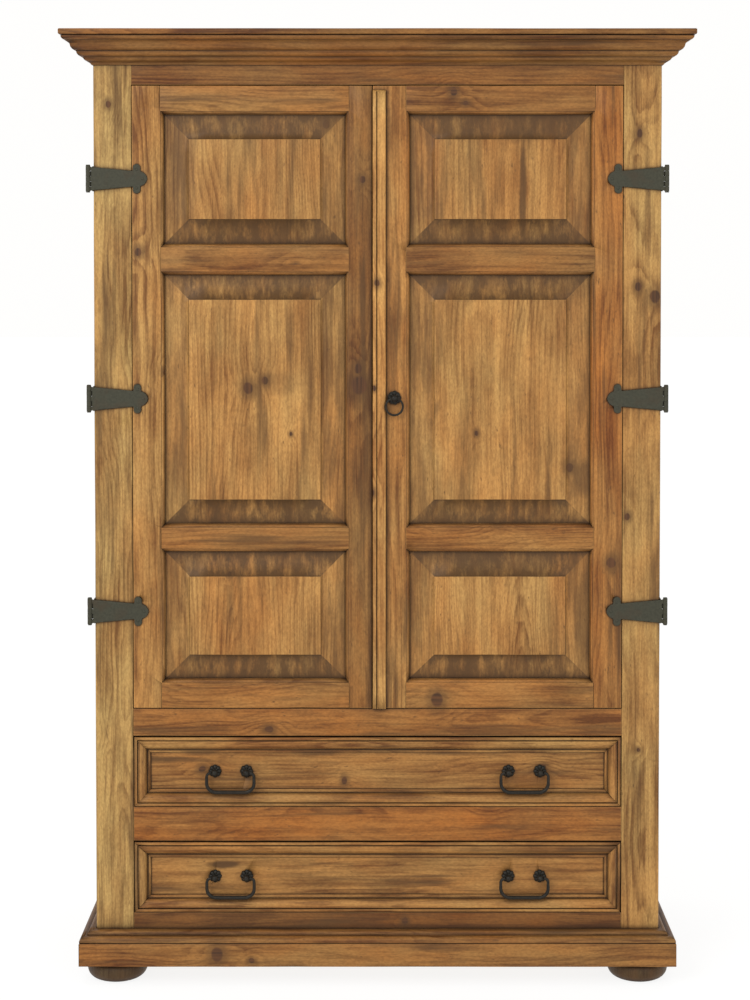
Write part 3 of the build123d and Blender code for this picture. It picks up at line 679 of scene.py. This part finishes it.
    def relief(self):
        """Late wood, fibre and knots stand up, and nicks go in, over a slow waviness."""
        fibre = self.math("MULTIPLY", self.fibre, 0.40)
        nicks = self.math("MULTIPLY", self.spread(self.fleck, *NICKS), 1.2)
        height = self.math("ADD", self.math("MULTIPLY", self.late, 0.55), fibre)
        height = self.math("SUBTRACT", height, nicks)
        height = self.math("ADD", height, self.math("MULTIPLY", self.core, 0.6))
        wavy = self.bump(self.noise(self.place, 22.0, 2.0), 0.9 * MM)
        return self.bump(height, 0.20 * MM, wavy)


def pine(
    name, base=HONEY_COLOUR, gloss=0.48, end_dark=0.0, wax_and_shade=0.9, contrast=1.0, knots=1.0,
    spots=(), stains=(),
):
    """Oiled and waxed pine. Spots are chosen knots, and end_dark is how dark a panel's bevels go."""
    g = Timber(name, spots)
    colour = g.mix(g.figure(contrast), shade(LIGHT_FIGURE), shade(DARK_FIGURE))
    colour = g.tint(g.vector("MULTIPLY", colour, base))
    colour = g.marks(colour, contrast, knots, stains)
    if end_dark:
        colour = g.soak(colour, end_dark)
    colour = g.wear(colour, base)
    if end_dark:
        colour = g.smear_panels(colour)
    # Darker near other faces, by ambient occlusion: dark wax, and painted shade.
    colour = g.wax_and_painted_shade(colour, wax_and_shade)
    g.feed(g.shader.inputs["Base Color"], colour)
    rough = g.spread(g.fibre, 0.2, 0.8, gloss - 0.05, gloss + 0.12)
    # Rougher where the corner wax and its painted shade lie.
    g.feed(g.shader.inputs["Roughness"], g.math("ADD", rough, g.math("MULTIPLY", g.corner_shade_and_wax, 0.15)))
    g.shader.inputs["Specular IOR Level"].default_value = 0.22
    g.feed(g.shader.inputs["Normal"], g.relief())
    return g.material


def iron(
    name, base=(0.036, 0.035, 0.023), edge=(0.062, 0.060, 0.040), rust=(0.052, 0.034, 0.019), rough=0.52,
):
    """Blackened forged iron: mottled scale, a rub of brighter metal on the edges and a little rust."""
    g = Graph(name)
    place = g.add("TexCoord").outputs["Object"]
    scale = g.noise(place, 190.0, 4.0, 0.6)
    broad = g.noise(place, 34.0, 3.0, 0.5)
    colour = g.mix(g.spread(scale, 0.35, 0.70, 0.0, 0.6), shade(base), shade(edge))
    colour = g.mix(g.spread(broad, 0.50, 0.72, 0.0, 0.45), colour, shade(rust))
    rub = g.math("MULTIPLY", g.attribute("worn"), g.spread(broad, 0.40, 0.60, 0.1, 0.75))
    colour = g.mix(rub, colour, shade(edge, (1.9, 1.9, 1.9)))
    g.feed(g.shader.inputs["Base Color"], colour)
    g.shader.inputs["Metallic"].default_value = 0.08
    g.shader.inputs["Specular IOR Level"].default_value = 0.18
    g.feed(g.shader.inputs["Roughness"], g.spread(scale, 0.3, 0.7, rough - 0.08, rough + 0.12))
    dents = g.bump(g.noise(place, 70.0, 2.0), 0.28 * MM)
    g.feed(g.shader.inputs["Normal"], g.bump(scale, 0.07 * MM, dents))
    return g.material


def steel(name):
    """Dull steel, brushed along x."""
    g = Graph(name)
    place = g.add("TexCoord").outputs["Object"]
    brushed = g.noise(g.vector("MULTIPLY", place, (40.0, 900.0, 900.0)), 1.0, 2.0)
    g.feed(g.shader.inputs["Base Color"], g.mix(brushed, shade(DULL_STEEL), shade(BRIGHT_STEEL)))
    g.shader.inputs["Metallic"].default_value = 1.0
    g.feed(g.shader.inputs["Roughness"], g.spread(brushed, 0.3, 0.7, 0.28, 0.42))
    return g.material


def plain(name, colour, rough):
    g = Graph(name)
    g.shader.inputs["Base Color"].default_value = (*colour, 1)
    g.shader.inputs["Roughness"].default_value = rough
    return g.material


# ---- the woods and metals; chosen knots and stains are places on the front, in metres ----
DOOR_KNOTS = (
    (-0.512, 1.577, 0.008), (-0.039, 1.291, 0.018), (-0.041, 1.327, 0.009), (-0.032, 1.732, 0.007),
    (0.502, 0.909, 0.011), (0.128, 0.612, 0.014), (0.162, 1.918, 0.008),
)
PANEL_KNOTS = (
    (-0.277, 1.284, 0.011), (-0.241, 1.302, 0.008), (0.413, 1.113, 0.008), (0.213, 1.188, 0.005),
)
PANEL_STAINS = (
    (-0.210, 1.294, 0.055, 0.032, 0.30),
    (0.448, 1.090, 0.028, 0.050, 0.60),
    (0.446, 0.785, 0.030, 0.125, 0.60),
    (0.311, 1.700, 0.0095, 0.150, 0.80),
    (0.325, 1.845, 0.110, 0.040, 0.55),
    (-0.420, 1.770, 0.030, 0.110, 0.35),
)
DRAWER_KNOTS = ((-0.072, 0.434, 0.007),)
DRAWER_STAINS = (
    (-0.333, 0.251, 0.044, 0.011, 0.95),
    (-0.385, 0.497, 0.050, 0.010, 0.60),
    (-0.130, 0.496, 0.070, 0.010, 0.60),
)
POST_KNOTS = ((0.594, 1.481, 0.012), (0.537, 1.008, 0.007), (0.562, 0.503, 0.004))
BASE_KNOTS = ((-0.344, 0.070, 0.014), (0.059, 0.130, 0.007))
FRAME = pine("frame_pine", spots=DOOR_KNOTS)
POST = pine("post_pine", wax_and_shade=0.8, spots=POST_KNOTS)
PANEL = pine("panel_pine", end_dark=0.90, contrast=0.85, spots=PANEL_KNOTS, stains=PANEL_STAINS)
MOULDING = pine("moulding_pine", wax_and_shade=0.95, contrast=1.15, spots=DRAWER_KNOTS, stains=DRAWER_STAINS)
CROWN = pine("crown_pine", wax_and_shade=0.95, contrast=1.15, spots=BASE_KNOTS)
RAW = pine("raw_pine", RAW_COLOUR, gloss=0.62, wax_and_shade=0.35, contrast=0.75)
DARK_WOOD = pine("foot_wood", FOOT_COLOUR, gloss=0.45, contrast=0.9, knots=0.0)
IRON = iron("wrought_iron")
BLACK_IRON = iron(
    "black_iron", base=(0.009, 0.008, 0.006), edge=(0.032, 0.028, 0.021), rust=(0.026, 0.017, 0.010),
    rough=0.36,
)
STEEL = steel("catch_steel")


# ---------------------------------------------------------------- the armoire

# A tone is (brightness, redness) against the plain honey colour.
DARK_TONE = (0.52, 0.9)
RUSSET_TONE = (0.71, 1.4)


def carcass():
    board_piece("left_front_stile", POST, depth=ROUGH, arris=BUMPED, tones=((0.93, -0.9),))
    board_piece("right_front_stile", POST, depth=ROUGH, arris=BUMPED, tones=((0.97, -0.5),))
    board_piece("top_rail", FRAME, tones=((0.56, 1.1),))
    board_piece("door_sill_rail", FRAME, tones=(RUSSET_TONE,))
    board_piece("drawer_divider_rail", FRAME, tones=(RUSSET_TONE,))
    board_piece("bottom_rail", CROWN, tones=((0.41, 1.5),))
    board_piece("side_stiles", POST, grain="z", tones=((0.88, -0.6), (0.82, 0.0)))
    board_piece("side_rails", FRAME, grain="y", tones=((0.70, 0.7), (0.82, 0.3)), along="z")
    board_piece("side_panels", PANEL, grain="z", cross="y", tones=((0.95, 0.1), (1.0, 0.0)), along="z")
    board_piece("top_board", CROWN, grain="x", cross="y", tones=((0.52, 0.8),))
    board_piece("crown_front", CROWN, grain="x", tones=(DARK_TONE,))
    board_piece("crown_sides", CROWN, grain="y", tones=(DARK_TONE,))
    board_piece("base_front_board", CROWN, grain="x", tones=((0.64, 0.7),), arris=BUMPED, depth=ROUGH)
    # The base's side boards and mouldings are toned darker than the front ones: painted shade for their
    # shadowed sides.
    board_piece("base_side_boards", CROWN, grain="y", tones=((0.44, 0.6),), arris=BUMPED)
    board_piece("base_front_moulding", CROWN, grain="x", tones=((0.56, 0.6),))
    board_piece("base_side_mouldings", CROWN, grain="y", tones=((0.40, 0.5),))
    board_piece("bun_feet", DARK_WOOD, grain="z", stations=12 * MM, cross="xy")


def inside():
    board_piece("back_boards", RAW, grain="z", tones=((0.92, 0.1), (1.0, 0.0), (0.88, 0.2)))
    board_piece("base_back_board", RAW)
    for node in ("cupboard_floor", "carcass_bottom", "shelf"):
        board_piece(node, RAW, grain="x", cross="y")
    board_piece("shelf_cleats", RAW, grain="y")
    board_piece("drawer_runners", RAW, grain="y", tones=((0.85, 0.1),))
    board_piece("hanging_rod", RAW, grain="x", tones=((1.1, 0.0),), arris=0, fine=0, depth=TRUE)
    board_piece("rod_sockets", RAW, grain="z", tones=((0.8, 0.2),), arris=0.8 * MM, depth=TRUE)
    NODES["door_catches"].data.materials[0] = STEEL
    for side in ("left", "right"):
        NODES[f"{side}_catch_strike"].data.materials[0] = STEEL


def doors():
    stile_tones = {"left": ((0.99, 0.0), (0.57, 0.45)), "right": ((0.95, 0.35), (0.83, 1.1))}
    rail_tones = {
        "left": ((0.76, 0.6), (0.72, 0.6), (0.64, 0.6), (0.68, 0.7)),
        "right": ((0.76, 0.7), (0.72, 0.8), (0.62, 0.7), (0.62, 1.0)),
    }
    for side in ("left", "right"):
        board_piece(f"{side}_door_stiles", FRAME, grain="z", arris=1.1 * MM, tones=stile_tones[side])
        board_piece(
            f"{side}_door_rails", FRAME, grain="x", arris=1.1 * MM, tones=rail_tones[side], along="z",
        )
        board_piece(
            f"{side}_door_panels", PANEL, grain="z", cross="x", arris=0.9 * MM,
            tones=((0.96, 0.1), (1.0, 0.0)), along="z",
        )
    board_piece("astragal", FRAME, grain="z", tones=((1.22, -0.2),))


def drawers():
    for level in ("upper", "lower"):
        board_piece(
            f"{level}_drawer_front", MOULDING, grain="x", arris=0, fine=0, depth=TRUE,
            tones=((0.78, 0.4),),
        )
        board_piece(f"{level}_drawer_moulding", MOULDING, tones=((0.80, 0.2),), stations=30 * MM)
        board_piece(f"{level}_drawer_box", RAW, sides=DRAWER_SIDE)
        board_piece(f"{level}_drawer_bottom", RAW, grain="x", cross="y")


def forged_bail(node):
    """A bail that is thin at its posts and thickens down its drop."""
    low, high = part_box(node)
    fall = high[2] - low[2]

    def swell(at):
        drop = (high[2] - at[2]) / fall - 0.15
        return 1.1 * MM * min(1.0, max(0.0, drop)) - 0.75 * MM

    iron_piece(node, BLACK_IRON, axes="", depth=0.3 * MM, lumps=150.0, edge=0, swell=swell)


def flowers(node, board, radius):
    """A flower over each of the node's posts, against the board that holds them."""
    bm = clean_copy(node)
    posts = sorted(islands(bm), key=lambda group: box_of(group)[0][0])
    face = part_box(board)[0][1]
    for n, group in enumerate(posts):
        low, high = box_of(group)
        centre = ((low[0] + high[0]) / 2, face, (low[2] + high[2]) / 2)
        flower(f"{node}_flower_{n}", centre, radius, node)
    bm.free()


NAIL_HEADS = {"axes": "", "depth": 0.1 * MM, "lumps": 420.0}


def hardware():
    for side in ("left", "right"):
        iron_piece(f"{side}_hinge_straps", IRON, depth=0.16 * MM, lumps=70.0)
        iron_piece(f"{side}_strap_nails", IRON, **NAIL_HEADS)
    iron_piece("hinge_side_leaves", IRON, axes="yz")
    iron_piece("hinge_pins", IRON, axes="z", depth=0.1 * MM)
    iron_piece("hinge_leaf_nails", IRON, **NAIL_HEADS)
    for level in ("upper", "lower"):
        iron_piece(f"{level}_pull_posts", BLACK_IRON, axes="", depth=0.35 * MM, lumps=260.0)
        flowers(f"{level}_pull_posts", f"{level}_drawer_front", 14.2 * MM)
        for side in ("left", "right"):
            forged_bail(f"{level}_{side}_bail")
    iron_piece("ring_post", BLACK_IRON, axes="", depth=0.3 * MM, lumps=260.0)
    flowers("ring_post", "right_door_stiles", 14.6 * MM)
    iron_piece("pull_ring", BLACK_IRON, axes="", depth=0.2 * MM, lumps=200.0, edge=0)


# ---------------------------------------------------------------- the studio


def studio():
    bm = bmesh.new()
    bmesh.ops.create_grid(bm, x_segments=1, y_segments=1, size=FLOOR_SIZE)
    white = plain("floor_white", (0.16, 0.16, 0.16), 0.9)
    glow = white.node_tree.nodes["Principled BSDF"]
    glow.inputs["Emission Color"].default_value = (1.0, 1.0, 0.995, 1)
    glow.inputs["Emission Strength"].default_value = FLOOR_GLOW
    glow.inputs["Specular IOR Level"].default_value = 0.0
    floor = finish_mesh(bm, "floor", white)
    world = bpy.data.worlds.new("studio")
    bpy.context.scene.world = world
    world.use_nodes = True
    backdrop = world.node_tree.nodes["Background"]
    backdrop.inputs["Color"].default_value = (1.0, 0.995, 0.985, 1)
    backdrop.inputs["Strength"].default_value = 1.0
    for name, place, size, watts in LAMPS:
        light = bpy.data.lights.new(name, "AREA")
        light.size = size
        light.energy = watts
        lamp = bpy.data.objects.new(name, light)
        lamp.location = place
        aim = MIDDLE - lamp.location
        lamp.rotation_euler = aim.to_track_quat("-Z", "Y").to_euler()
        bpy.context.scene.collection.objects.link(lamp)


def camera():
    data = bpy.data.cameras.new("camera")
    data.lens = LENS
    data.sensor_width = 36.0
    data.shift_x, data.shift_y = SHIFT
    data.clip_end = 100.0
    cam = bpy.data.objects.new("camera", data)
    cam.location = EYE
    cam.rotation_euler = (math.pi / 2 - TILT, 0, 0)
    bpy.context.scene.collection.objects.link(cam)
    bpy.context.scene.camera = cam


carcass()
inside()
doors()
drawers()
hardware()
studio()
camera()
bpy.context.scene.view_settings.view_transform = "Standard"
